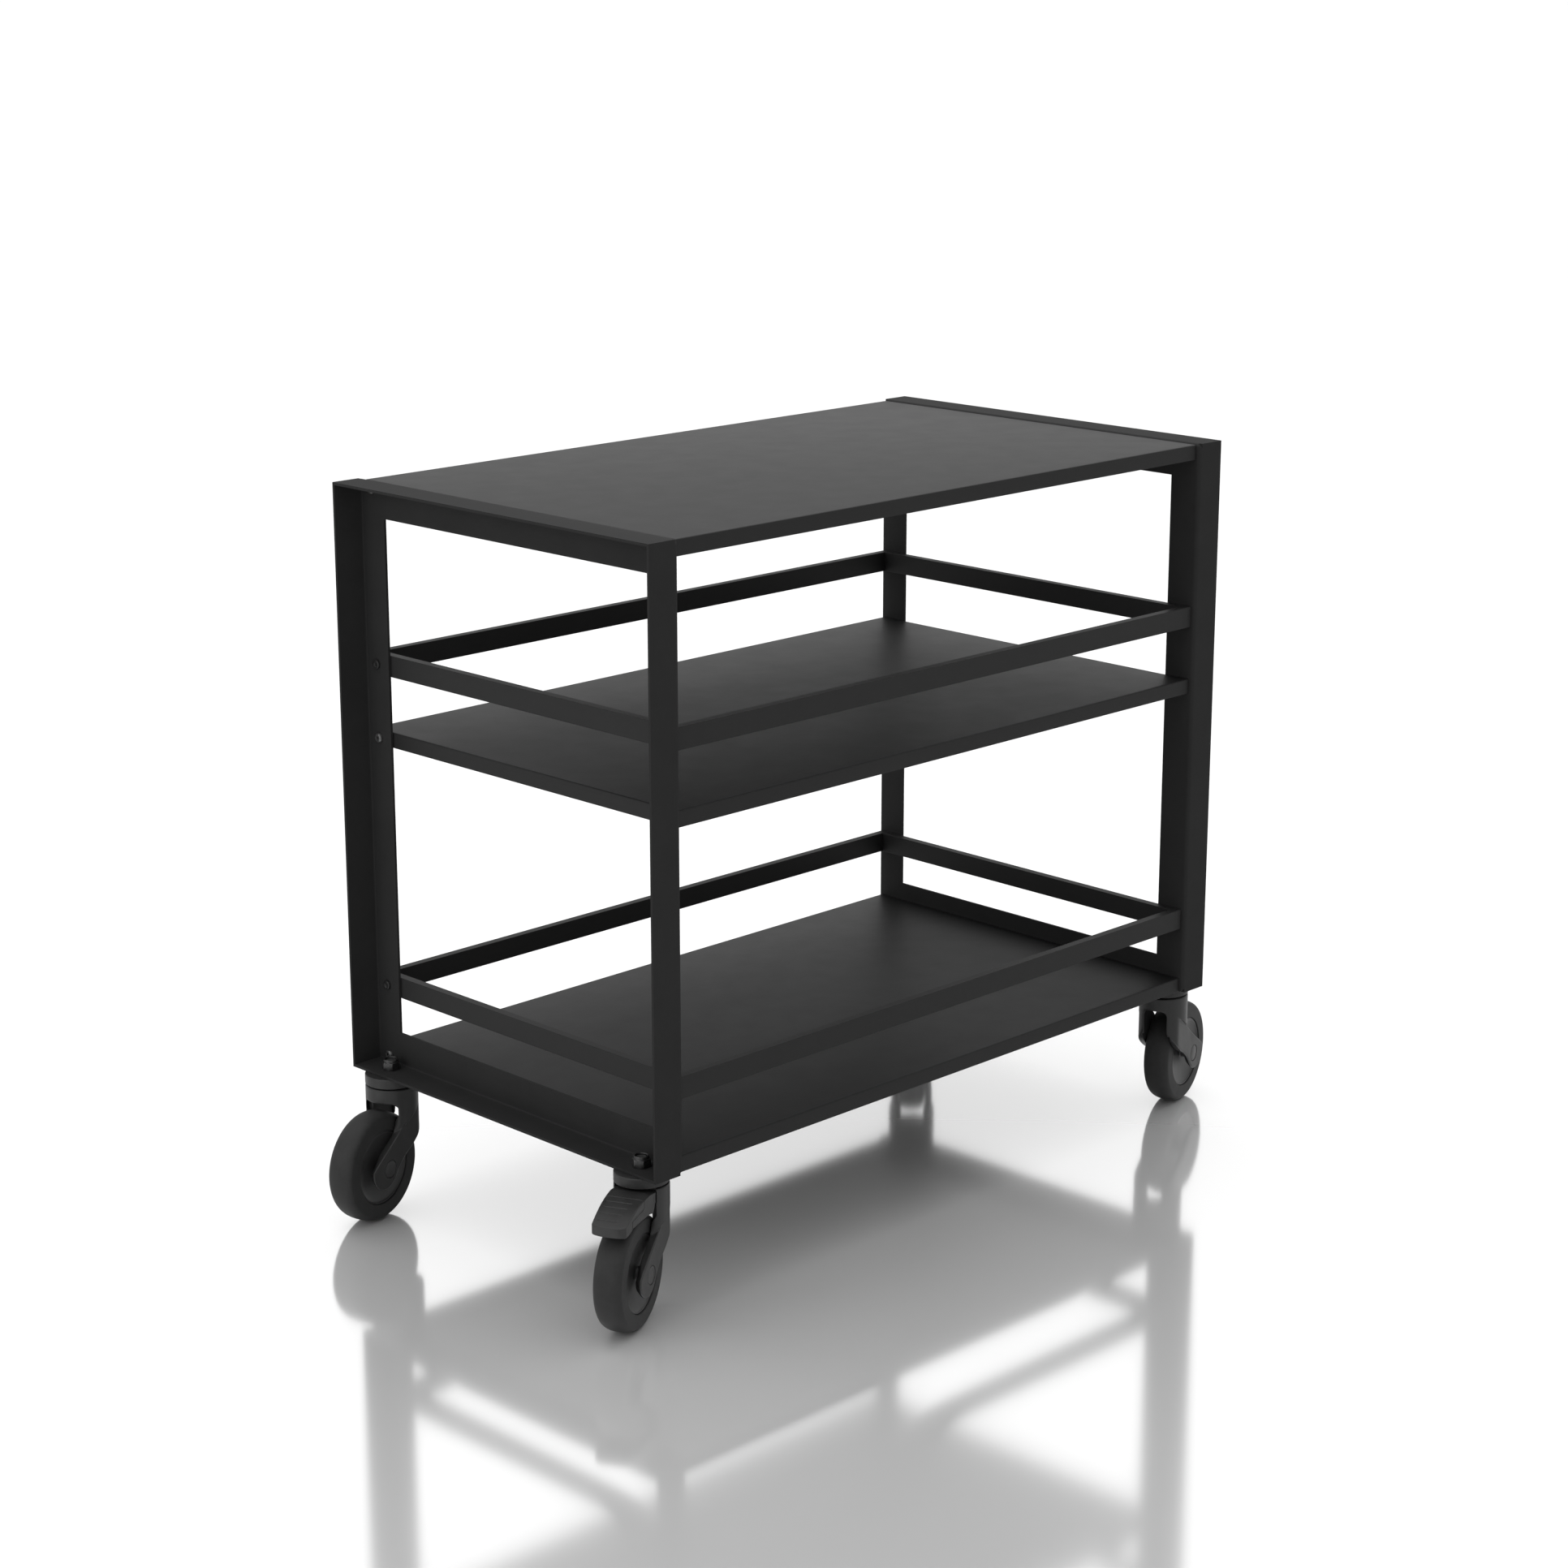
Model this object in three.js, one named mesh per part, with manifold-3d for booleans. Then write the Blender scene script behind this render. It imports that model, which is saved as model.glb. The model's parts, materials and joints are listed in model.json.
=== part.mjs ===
// Rolling utility cart: two folded end frames, three folded decks, two tube guard rails,
// and four stem casters, one of them with a foot brake. Millimetres, +Z up, front towards -Y.
import * as THREE from 'three';
import { mergeVertices } from 'three/addons/utils/BufferGeometryUtils.js';
import Module from 'manifold-3d';

const wasm = await Module();
wasm.setup();

// ---- driving dimensions ----
const LENGTH = 900; // over the end frames, along X
const DEPTH = 500; // end frame, along Y
const FRAME_HEIGHT = 664; // end frame, along Z
const FLANGE = 40; // flange of the end frame's angle section, pointing outwards
const WEB = 40; // web of the same section, facing inwards
const SHEET = 3; // end frame sheet
const BEND_RADIUS = 5; // outside radius of the end frame's folds
const RELIEF = 5; // corner relief where two folds meet

const DECK_SHEET = 1.5;
const DECK_LIP = 17.5; // height of a deck's folded edge
const DECK_BEND = 2; // outside radius of a deck's fold
const TABLETOP_DROP = 1; // tabletop below the top flanges
const MIDDLE_DECK_TOP = 387; // above the foot of the end frames
const BOTTOM_DECK_FOOT = 1;

const RAIL_HEIGHT = 24;
const RAIL_WIDTH = 10;
const RAIL_WALL = 1.5;
const UPPER_RAIL_FOOT = 449; // above the foot of the end frames
const LOWER_RAIL_FOOT = 80.5;

const GAP = 0.3; // between pieces that touch
const SCREW_SHANK = 3; // radius
const SCREW_LENGTH = 12; // under the head
const RAIL_HEAD = { radius: 5.3, height: 2.4 };
const DECK_HEAD = { radius: 5.6, height: 3.4 };
const HEX_SOCKET = 2.3; // radius over the corners
const SOCKET_DEPTH = 1.5;

const CASTER_HEIGHT = 161; // floor to the foot of the end frames
const CASTER_FROM_FRONT = 43; // swivel axis to the end frame's front or back
const WHEEL_RADIUS = 62.5;
const WHEEL_WIDTH = 32;
const TYRE_SIDE_RADIUS = 55.6; // where the tread starts to round over
const HUB_RADIUS = 41.9;
const HUB_RECESS = 1.4; // rim of the hub below the tyre's side
const WHEEL_SIDES = 28;
const CASTER_TRAIL = 39; // axle behind the swivel axis
const HOUSING_RADIUS = 29.4;
const CAP_FOOT = 11.4; // underside of the fixed top cap
const SPLIT = 1.3; // visible line between the cap and the housing
const FORK_WIDTH = 52.2; // over the two legs
const WELL_WIDTH = WHEEL_WIDTH + 3;
const WELL_TOP = 30;
const FLAT_SLOPE = 34; // degrees; each side is flat below a line that falls towards the trailing side
const FLAT_START = -47; // height of that line over the swivel axis
const WINDOW = { front: 14.6, back: 22.9, wall: 8 }; // half widths, and depth of the front one
const STEM_RADIUS = 6;
const RUNNING = 0.04; // radial clearance of a turning fit
const STEM_SIDES = 24;
const AXLE_RADIUS = 5;
const AXLE_HEAD = { radius: 9.8, height: 2.6 };
const NUT_FLATS = 18; // across flats
const NUT_HEX = 9;
const NUT_COLLAR = 3;

const PEDAL_TAPER = 3.8; // each edge draws in this much towards the tip
const PEDAL_REACH = 93.5; // tip of the lip behind the swivel axis
const PEDAL_LIFT = 12; // underside above the tyre
const PEDAL_GROOVES = 4;
const PEDAL_GROOVE_SHIFT = 2.8; // the grooves sit this far off the middle
const NOSE_RADIUS = 46; // plan radius of the lip
const PEDAL_PIVOT = { u: 17, z: -21.5, radius: 6 };

const CASTERS = [
  { name: 'front_left', end: -1, side: -1, yaw: 205.4, brake: true },
  { name: 'back_left', end: -1, side: 1, yaw: 193.9, brake: false },
  { name: 'front_right', end: 1, side: -1, yaw: 16, brake: false },
  { name: 'back_right', end: 1, side: 1, yaw: 45, brake: false },
];

// ---- materials ----
function finish(color, roughness, metalness) {
  return new THREE.MeshStandardMaterial({ color, roughness, metalness });
}
const powderCoat = finish(0x2b2b2b, 0.55, 0.2);
const blackScrew = finish(0x161616, 0.4, 0.6);
const greyScrew = finish(0x3a3a3a, 0.35, 0.7);
const housingPlastic = finish(0x303030, 0.5, 0);
const hubPlastic = finish(0x3a3a3a, 0.5, 0);
const tyreRubber = finish(0x222222, 0.75, 0);

// ---- solids ----
function toManifold(geometry) {
  const bare = geometry.index ? geometry.toNonIndexed() : geometry.clone();
  bare.deleteAttribute('normal');
  bare.deleteAttribute('uv');
  const merged = mergeVertices(bare, 1e-4);
  return new wasm.Manifold(new wasm.Mesh({
    numProp: 3,
    vertProperties: new Float32Array(merged.attributes.position.array),
    triVerts: new Uint32Array(merged.index.array),
  }));
}

function toGeometry(solid) {
  const mesh = solid.getMesh();
  const geometry = new THREE.BufferGeometry();
  const positions = new Float32Array(mesh.vertProperties);
  geometry.setAttribute('position', new THREE.BufferAttribute(positions, 3));
  geometry.setIndex(new THREE.BufferAttribute(new Uint32Array(mesh.triVerts), 1));
  geometry.computeVertexNormals();
  return geometry;
}

// A box between two corners.
function box(x0, x1, y0, y1, z0, z1) {
  const geometry = new THREE.BoxGeometry(x1 - x0, y1 - y0, z1 - z0);
  geometry.translate((x0 + x1) / 2, (y0 + y1) / 2, (z0 + z1) / 2);
  return toManifold(geometry);
}

// A rod along X, Y or Z between two stations.
function rod(axis, radius, from, to, segments = 16) {
  const geometry = new THREE.CylinderGeometry(radius, radius, to - from, segments);
  geometry.translate(0, (from + to) / 2, 0);
  if (axis === 'x') geometry.rotateZ(-Math.PI / 2);
  if (axis === 'z') geometry.rotateX(Math.PI / 2);
  return toManifold(geometry);
}

// Corner radius of a many-sided bore whose flats clear a round shaft.
function boreRadius(shaft, sides) {
  return (shaft + RUNNING) / Math.cos(Math.PI / sides);
}

// A body turned about Z from [radius, z] points; about Y when lying down.
function turned(profile, segments, lying = false) {
  const points = profile.map(([r, z]) => new THREE.Vector2(r, z));
  if (profile[0][0] > 0) points.push(points[0].clone());
  const geometry = new THREE.LatheGeometry(points, segments);
  if (!lying) geometry.rotateX(Math.PI / 2);
  return toManifold(geometry);
}

// An outline drawn in the XZ plane, extruded along Y between two stations.
function plateXZ(shape, y0, y1, curveSegments = 6) {
  const geometry = new THREE.ExtrudeGeometry(shape, { depth: y1 - y0, bevelEnabled: false, curveSegments });
  geometry.rotateX(Math.PI / 2);
  geometry.translate(0, y1, 0);
  return toManifold(geometry);
}

// An outline drawn in the XY plane, extruded up between two heights.
function plateXY(shape, z0, z1, curveSegments = 6) {
  const geometry = new THREE.ExtrudeGeometry(shape, { depth: z1 - z0, bevelEnabled: false, curveSegments });
  geometry.translate(0, 0, z0);
  return toManifold(geometry);
}

// A rectangle whose two corners at its far x end are rounded.
function roundedEnd(x0, x1, low, high, radius) {
  const shape = new THREE.Shape();
  shape.moveTo(x0, low);
  shape.lineTo(x1 - radius, low);
  shape.absarc(x1 - radius, low + radius, radius, -Math.PI / 2, 0, false);
  shape.lineTo(x1, high - radius);
  shape.absarc(x1 - radius, high - radius, radius, 0, Math.PI / 2, false);
  shape.lineTo(x0, high);
  shape.closePath();
  return shape;
}

// A rectangle whose two corners at its top are rounded.
function roundedTop(low, high, z0, z1, radius) {
  const shape = new THREE.Shape();
  shape.moveTo(low, z0);
  shape.lineTo(high, z0);
  shape.lineTo(high, z1 - radius);
  shape.absarc(high - radius, z1 - radius, radius, 0, Math.PI / 2, false);
  shape.lineTo(low + radius, z1);
  shape.absarc(low + radius, z1 - radius, radius, Math.PI / 2, Math.PI, false);
  shape.closePath();
  return shape;
}

const cart = new THREE.Group();

function addMesh(parent, name, solid, material) {
  const mesh = new THREE.Mesh(toGeometry(solid), material);
  mesh.name = name;
  parent.add(mesh);
  return mesh;
}

// ---- what the frames, decks and rails share ----
const webFace = LENGTH / 2 - FLANGE; // inner face of each end frame's web
const screwAcross = DEPTH / 2 - WEB / 2; // screws run down the middle of each post
const pieceEnd = webFace - GAP; // end of a deck or rail
const pieceSide = DEPTH / 2 - BEND_RADIUS; // side of a deck or rail, where the web is flat
const casterAcross = DEPTH / 2 - CASTER_FROM_FRONT;
const casterAlong = LENGTH / 2 - FLANGE / 2;
const tabletopTop = FRAME_HEIGHT - TABLETOP_DROP;

const bottomDeckTop = BOTTOM_DECK_FOOT + DECK_LIP;
const deckTops = { tabletop: tabletopTop, middle_deck: MIDDLE_DECK_TOP, bottom_deck: bottomDeckTop };
const railFeet = { upper_rail: UPPER_RAIL_FOOT, lower_rail: LOWER_RAIL_FOOT };
const deckScrewHeights = Object.entries(deckTops).map(([name, top]) => [name, top - DECK_LIP / 2]);
const railScrewHeights = Object.entries(railFeet).map(([name, foot]) => [name, foot + RAIL_HEIGHT / 2]);
const screwHeights = [...deckScrewHeights, ...railScrewHeights].map(([, height]) => height);
const screwHole = SCREW_SHANK + GAP;

// ---- end frames: a folded picture frame, its web at x = 0 and its flanges towards -X ----
function endFrameSolid() {
  const half = DEPTH / 2;
  const inside = BEND_RADIUS - SHEET;
  const past = FLANGE + 1;
  const outer = plateXZ(roundedEnd(-FLANGE, 0, 0, FRAME_HEIGHT, BEND_RADIUS), -half, half, 4)
    .intersect(plateXY(roundedEnd(-FLANGE, 0, -half, half, BEND_RADIUS), 0, FRAME_HEIGHT, 4));
  const sideCut = roundedEnd(-past, -SHEET, SHEET, FRAME_HEIGHT - SHEET, inside);
  const planCut = roundedEnd(-past, -SHEET, -half + SHEET, half - SHEET, inside);
  const hollow = plateXZ(sideCut, -half + SHEET, half - SHEET, 2)
    .intersect(plateXY(planCut, SHEET, FRAME_HEIGHT - SHEET, 2));
  let solid = outer.subtract(hollow);
  solid = solid.subtract(box(-SHEET - 1, 1, -half + WEB, half - WEB, WEB, FRAME_HEIGHT - WEB));
  for (const side of [-1, 1]) {
    for (const height of [0, FRAME_HEIGHT]) {
      const corner = new THREE.BoxGeometry(BEND_RADIUS + 1, RELIEF * Math.SQRT2, RELIEF * Math.SQRT2);
      corner.rotateX(Math.PI / 4);
      corner.translate((1 - BEND_RADIUS) / 2, side * half, height);
      solid = solid.subtract(toManifold(corner));
    }
    for (const height of screwHeights) {
      const hole = rod('x', screwHole, -SHEET - 1, 1, 10).translate([0, side * screwAcross, height]);
      solid = solid.subtract(hole);
    }
    const stemHole = rod('z', STEM_RADIUS + GAP, -1, SHEET + 1).translate([-FLANGE / 2, side * casterAcross, 0]);
    solid = solid.subtract(stemHole);
  }
  return solid;
}

const frameFoot = CASTER_HEIGHT;
for (const [name, end] of [['end_frame_left', -1], ['end_frame_right', 1]]) {
  const mesh = addMesh(cart, name, endFrameSolid(), powderCoat);
  mesh.position.set(end * webFace, 0, frameFoot);
  if (end > 0) mesh.rotation.z = Math.PI;
}

// ---- decks: shallow pans, folded down on all four sides ----
function deckSolid() {
  const inner = { end: pieceEnd - DECK_SHEET, side: pieceSide - DECK_SHEET, top: -DECK_SHEET };
  const innerBend = DECK_BEND - DECK_SHEET;
  const outerAlong = roundedTop(-pieceEnd, pieceEnd, -DECK_LIP, 0, DECK_BEND);
  const outerAcross = roundedTop(-pieceSide, pieceSide, -DECK_LIP, 0, DECK_BEND);
  const innerAlong = roundedTop(-inner.end, inner.end, -DECK_LIP - 1, inner.top, innerBend);
  const innerAcross = roundedTop(-inner.side, inner.side, -DECK_LIP - 1, inner.top, innerBend);
  const outer = plateXZ(outerAlong, -pieceSide, pieceSide, 2)
    .intersect(plateXZ(outerAcross, -pieceEnd, pieceEnd, 2).rotate([0, 0, 90]));
  const hollow = plateXZ(innerAlong, -inner.side, inner.side, 1)
    .intersect(plateXZ(innerAcross, -inner.end, inner.end, 1).rotate([0, 0, 90]));
  let solid = outer.subtract(hollow);
  for (const side of [-1, 1]) {
    const hole = rod('x', screwHole, -pieceEnd - 1, pieceEnd + 1, 10);
    solid = solid.subtract(hole.translate([0, side * screwAcross, -DECK_LIP / 2]));
  }
  return solid;
}

for (const [name, top] of Object.entries(deckTops)) {
  const mesh = addMesh(cart, name, deckSolid(), powderCoat);
  mesh.position.z = frameFoot + top;
}

// ---- guard rails: rings of rectangular tube, drilled where the screws enter ----
function railSolid() {
  const tube = (inset, low, high) => box(-pieceEnd + inset, pieceEnd - inset, -pieceSide + inset, pieceSide - inset, low, high);
  const outer = tube(0, 0, RAIL_HEIGHT).subtract(tube(RAIL_WIDTH, -1, RAIL_HEIGHT + 1));
  const bore = tube(RAIL_WALL, RAIL_WALL, RAIL_HEIGHT - RAIL_WALL)
    .subtract(tube(RAIL_WIDTH - RAIL_WALL, 0, RAIL_HEIGHT));
  let solid = outer.subtract(bore);
  for (const side of [-1, 1]) {
    for (const end of [-1, 1]) {
      const middle = end * (pieceEnd - RAIL_WALL / 2);
      const hole = rod('x', screwHole, -RAIL_WALL, RAIL_WALL, 10);
      solid = solid.subtract(hole.translate([middle, side * screwAcross, RAIL_HEIGHT / 2]));
    }
  }
  return solid;
}

for (const [name, foot] of Object.entries(railFeet)) {
  const mesh = addMesh(cart, name, railSolid(), powderCoat);
  mesh.position.z = frameFoot + foot;
}

// ---- screws: one through each post into each deck and rail, head outside ----
function screwSolid(head, domed) {
  const profile = [[0, -SCREW_LENGTH], [SCREW_SHANK, -SCREW_LENGTH], [SCREW_SHANK, 0], [head.radius, 0]];
  if (domed) {
    const steps = 3;
    for (let i = 1; i < steps; i += 1) {
      const turn = (i / steps) * (Math.PI / 2);
      profile.push([head.radius * Math.cos(turn) ** 0.7, head.height * Math.sin(turn)]);
    }
  } else {
    profile.push([head.radius, head.height - 0.6], [head.radius - 0.6, head.height]);
  }
  profile.push([0, head.height]);
  const socket = rod('z', HEX_SOCKET, head.height - SOCKET_DEPTH, head.height + 1, 6);
  return turned(profile, 10).subtract(socket);
}

function addScrews(entries, head, domed, material) {
  for (const [piece, height] of entries) {
    for (const [endName, end] of [['left', -1], ['right', 1]]) {
      for (const [sideName, side] of [['front', -1], ['back', 1]]) {
        const mesh = addMesh(cart, `screw_${piece}_${sideName}_${endName}`, screwSolid(head, domed), material);
        const seat = webFace + SHEET + GAP;
        mesh.position.set(end * seat, side * screwAcross, frameFoot + height);
        mesh.rotation.y = (end * Math.PI) / 2;
      }
    }
  }
}

addScrews(deckScrewHeights, DECK_HEAD, true, greyScrew);
addScrews(railScrewHeights, RAIL_HEAD, false, blackScrew);

// ---- casters: u is the trailing direction (local +X), the axle lies along local Y ----
const flatFactor = Math.cos(Math.PI / WHEEL_SIDES); // a many-sided wheel stands on a flat
const axleDrop = CASTER_HEIGHT - WHEEL_RADIUS * flatFactor;
const forkTop = -CAP_FOOT - SPLIT;

// Fixed cap under the frame: a disc with a spigot that the housing turns against.
function capSolid() {
  const spigot = HOUSING_RADIUS - 4.5;
  const bore = STEM_RADIUS + GAP;
  const edge = 1;
  return turned([
    [bore, forkTop + GAP], [spigot, forkTop + GAP], [spigot, -CAP_FOOT], [HOUSING_RADIUS, -CAP_FOOT],
    [HOUSING_RADIUS, -GAP - edge], [HOUSING_RADIUS - edge, -GAP], [bore, -GAP],
  ], 28);
}

// Stem: a headed pin up through the housing, the cap, the flange and the nut.
function stemSolid() {
  const head = { radius: 10, height: 5 };
  const headTop = -WELL_TOP - GAP;
  const tip = SHEET + NUT_HEX + NUT_COLLAR - 1.5;
  return turned([
    [0, headTop - head.height], [head.radius, headTop - head.height], [head.radius, headTop],
    [STEM_RADIUS, headTop], [STEM_RADIUS, tip - 1], [STEM_RADIUS - 1, tip], [0, tip],
  ], STEM_SIDES);
}

// Locking nut: a hexagon with a round collar.
function nutSolid() {
  const across = NUT_FLATS / 2 / Math.cos(Math.PI / 6);
  const collar = NUT_FLATS / 2 - 0.8;
  const foot = SHEET + GAP;
  const crown = turned([
    [0, foot], [across - 1, foot], [across, foot + 1], [across, foot + NUT_HEX - 1.6],
    [collar, foot + NUT_HEX], [collar, foot + NUT_HEX + NUT_COLLAR - 1],
    [collar - 1.2, foot + NUT_HEX + NUT_COLLAR], [0, foot + NUT_HEX + NUT_COLLAR],
  ], 18);
  const hex = rod('z', across, foot - 1, foot + NUT_HEX + NUT_COLLAR + 1, 6);
  const bore = rod('z', STEM_RADIUS + GAP, foot - 1, foot + NUT_HEX + NUT_COLLAR + 1, 16);
  return crown.intersect(hex).subtract(bore);
}

// Side view of the housing and a leg, u across and z up.
function forkOutline() {
  const frontCut = -HOUSING_RADIUS + 3.9;
  const backCut = HOUSING_RADIUS - 10.9;
  const lobe = { u: CASTER_TRAIL + 8, radius: 21.5 };
  const shape = new THREE.Shape();
  shape.moveTo(-HOUSING_RADIUS - 1, forkTop);
  shape.lineTo(-HOUSING_RADIUS - 1, -WELL_TOP);
  shape.lineTo(-HOUSING_RADIUS + 0.5, -WELL_TOP);
  shape.quadraticCurveTo(frontCut, -WELL_TOP, frontCut, -WELL_TOP - 5);
  shape.lineTo(frontCut, -WELL_TOP - 20);
  shape.bezierCurveTo(frontCut + 1.5, -65, -13, -79, 9.5, -91);
  shape.lineTo(lobe.u - 15.5, -axleDrop - 15);
  shape.absarc(lobe.u, -axleDrop, lobe.radius, -2.37, 0.2, false);
  shape.bezierCurveTo(60, -87, 44, -78, 32, -69);
  shape.bezierCurveTo(22, -61.5, backCut, -56, backCut, -48);
  shape.lineTo(backCut, -WELL_TOP - 10);
  shape.quadraticCurveTo(backCut, -WELL_TOP, backCut + 7, -WELL_TOP);
  shape.lineTo(HOUSING_RADIUS + 1, -WELL_TOP);
  shape.lineTo(HOUSING_RADIUS + 1, forkTop);
  shape.closePath();
  return shape;
}

// Swivelling housing with its two legs, a wheel well between them and axle bores.
function forkSolid(brake) {
  const leg = FORK_WIDTH / 2;
  const well = WELL_WIDTH / 2;
  const foot = -CASTER_HEIGHT;
  const outline = forkOutline();
  const barrel = rod('z', HOUSING_RADIUS, foot, forkTop, 28);
  const round = plateXZ(outline, -HOUSING_RADIUS, HOUSING_RADIUS, 4).intersect(barrel);
  const legs = plateXZ(outline, -leg, leg, 4).subtract(box(-90, 0, -90, 90, -200, 0));
  let solid = round.add(legs.subtract(box(-90, 90, -90, 90, -WELL_TOP - 6, 1)));
  for (const side of [-1, 1]) {
    const flat = box(-60, 60, -20, 20, -60, 0).translate([0, side * (leg + 20), 0]);
    solid = solid.subtract(flat.rotate([0, FLAT_SLOPE, 0]).translate([0, 0, FLAT_START]));
  }
  const wellFront = -HOUSING_RADIUS + WINDOW.wall;
  solid = solid.subtract(box(wellFront, 90, -well, well, foot, -WELL_TOP));
  solid = solid.subtract(box(-90, wellFront + 1, -WINDOW.front, WINDOW.front, foot, -WELL_TOP));
  solid = solid.subtract(box(12, 90, -WINDOW.back, WINDOW.back, -WELL_TOP - 14, -WELL_TOP));
  solid = solid.subtract(rod('z', boreRadius(STEM_RADIUS, STEM_SIDES), -90, 1, STEM_SIDES));
  const axle = rod('y', AXLE_RADIUS + GAP, -90, 90, 16);
  solid = solid.subtract(axle.translate([CASTER_TRAIL, 0, -axleDrop]));
  for (const side of [-1, 1]) {
    const inner = leg - AXLE_HEAD.height;
    const seat = rod('y', AXLE_HEAD.radius + GAP, inner, leg + 5, 20);
    const turn = side > 0 ? 0 : 180;
    solid = solid.subtract(seat.rotate([0, 0, turn]).translate([CASTER_TRAIL, 0, -axleDrop]));
  }
  if (brake) solid = solid.subtract(pedalPocket());
  return solid;
}

// Room in the housing for the pedal's root and its stroke.
function pedalPocket() {
  const { u, z, radius } = PEDAL_PIVOT;
  const half = WINDOW.back;
  const barrel = rod('y', radius + GAP, -half, half, 24).translate([u, 0, z]);
  const mouth = box(u - 2, 90, -half, half, -WELL_TOP - 14, forkTop + 1);
  return barrel.add(mouth);
}

// Hub: a dished disc, thick at the rim and at the bore.
function hubSolid() {
  const half = WHEEL_WIDTH / 2;
  const rim = half - HUB_RECESS;
  const barrel = WELL_WIDTH / 2 - GAP;
  const bore = boreRadius(AXLE_RADIUS, WHEEL_SIDES);
  const side = [[HUB_RADIUS, rim], [HUB_RADIUS - 2, rim], [33, 9], [22, 6.5], [14, 8], [11.5, barrel], [bore, barrel]];
  const mirrored = side.map(([r, y]) => [r, -y]).reverse();
  return turned([...mirrored, ...side], WHEEL_SIDES, true);
}

// Tyre: flat sides and a crowned tread.
function tyreSolid() {
  const half = WHEEL_WIDTH / 2;
  const steps = 6;
  const profile = [[HUB_RADIUS + GAP, -half]];
  for (let i = 0; i <= steps; i += 1) {
    const across = -Math.cos((i / steps) * Math.PI);
    const crown = Math.sqrt(1 - Math.abs(across) ** 2.5);
    profile.push([TYRE_SIDE_RADIUS + (WHEEL_RADIUS - TYRE_SIDE_RADIUS) * crown, across * half]);
  }
  profile.push([HUB_RADIUS + GAP, half]);
  return turned(profile, WHEEL_SIDES, true);
}

// Axle with a flush round head in the outside of each leg.
function axleSolid() {
  const end = FORK_WIDTH / 2 - 0.2;
  const shoulder = FORK_WIDTH / 2 - AXLE_HEAD.height + GAP;
  return turned([
    [0, -end], [AXLE_HEAD.radius, -end], [AXLE_HEAD.radius, -shoulder], [AXLE_RADIUS, -shoulder],
    [AXLE_RADIUS, shoulder], [AXLE_HEAD.radius, shoulder], [AXLE_HEAD.radius, end], [0, end],
  ], 20, true);
}

// Top of the pedal in side view, from the tip back to the root.
function pedalTop() {
  return new THREE.CubicBezierCurve(
    new THREE.Vector2(PEDAL_REACH, -30),
    new THREE.Vector2(PEDAL_REACH - 16.5, -22.3),
    new THREE.Vector2(PEDAL_REACH - 35.5, -14.4),
    new THREE.Vector2(PEDAL_PIVOT.u + 4, PEDAL_PIVOT.z + PEDAL_PIVOT.radius + 1),
  );
}

// Side view of the foot pedal, from its root in the housing to its lip.
function pedalOutline() {
  const { u, z, radius } = PEDAL_PIVOT;
  const shape = new THREE.Shape();
  shape.moveTo(u, z - radius);
  shape.lineTo(HOUSING_RADIUS - 6, -38.5);
  shape.quadraticCurveTo(HOUSING_RADIUS, -36, HOUSING_RADIUS + 8, -35.8);
  shape.lineTo(PEDAL_REACH - 22, -36.2);
  shape.quadraticCurveTo(PEDAL_REACH - 12, -40.5, PEDAL_REACH - 2, -40.5);
  pedalTop().getPoints(10).forEach((point) => shape.lineTo(point.x, point.y));
  shape.lineTo(u, z + radius);
  shape.closePath();
  return shape;
}

// Plan of the pedal: two edges that draw in towards the tip.
function pedalPlan() {
  const { u, radius } = PEDAL_PIVOT;
  const root = WINDOW.back - GAP;
  const tip = root - PEDAL_TAPER;
  const shape = new THREE.Shape();
  shape.moveTo(u - radius - 1, -root);
  shape.lineTo(HOUSING_RADIUS - 2, -root);
  shape.lineTo(PEDAL_REACH + 1, -tip);
  shape.lineTo(PEDAL_REACH + 1, tip);
  shape.lineTo(HOUSING_RADIUS - 2, root);
  shape.lineTo(u - radius - 1, root);
  shape.closePath();
  return shape;
}

// Foot pedal: a curved paddle with a rounded lip, hollow over the tyre, and a barrel root.
function pedalSolid() {
  const { u, z, radius } = PEDAL_PIVOT;
  const half = WINDOW.back - GAP;
  const nose = rod('z', NOSE_RADIUS, -80, 0, 48).translate([PEDAL_REACH - NOSE_RADIUS, 0, 0]);
  const over = rod('y', WHEEL_RADIUS + PEDAL_LIFT, -WELL_WIDTH / 2, WELL_WIDTH / 2, 48);
  let solid = plateXZ(pedalOutline(), -half, half, 5)
    .intersect(plateXY(pedalPlan(), -60, 0))
    .intersect(nose)
    .subtract(over.translate([CASTER_TRAIL, 0, -axleDrop]))
    .add(rod('y', radius, -half, half, 20).translate([u, 0, z]));
  const top = pedalTop();
  for (let i = 0; i < PEDAL_GROOVES; i += 1) {
    const along = 0.19 + i * 0.152;
    const spot = top.getPoint(along);
    const slope = top.getTangent(along);
    const length = 24 + i * 2.3;
    const tilt = THREE.MathUtils.radToDeg(Math.atan2(slope.y, -slope.x));
    const groove = box(-0.5, 0.5, -length / 2, length / 2, -0.6, 4).rotate([0, tilt, 0]);
    solid = solid.subtract(groove.translate([spot.x, -PEDAL_GROOVE_SHIFT, spot.y]));
  }
  return solid;
}

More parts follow.
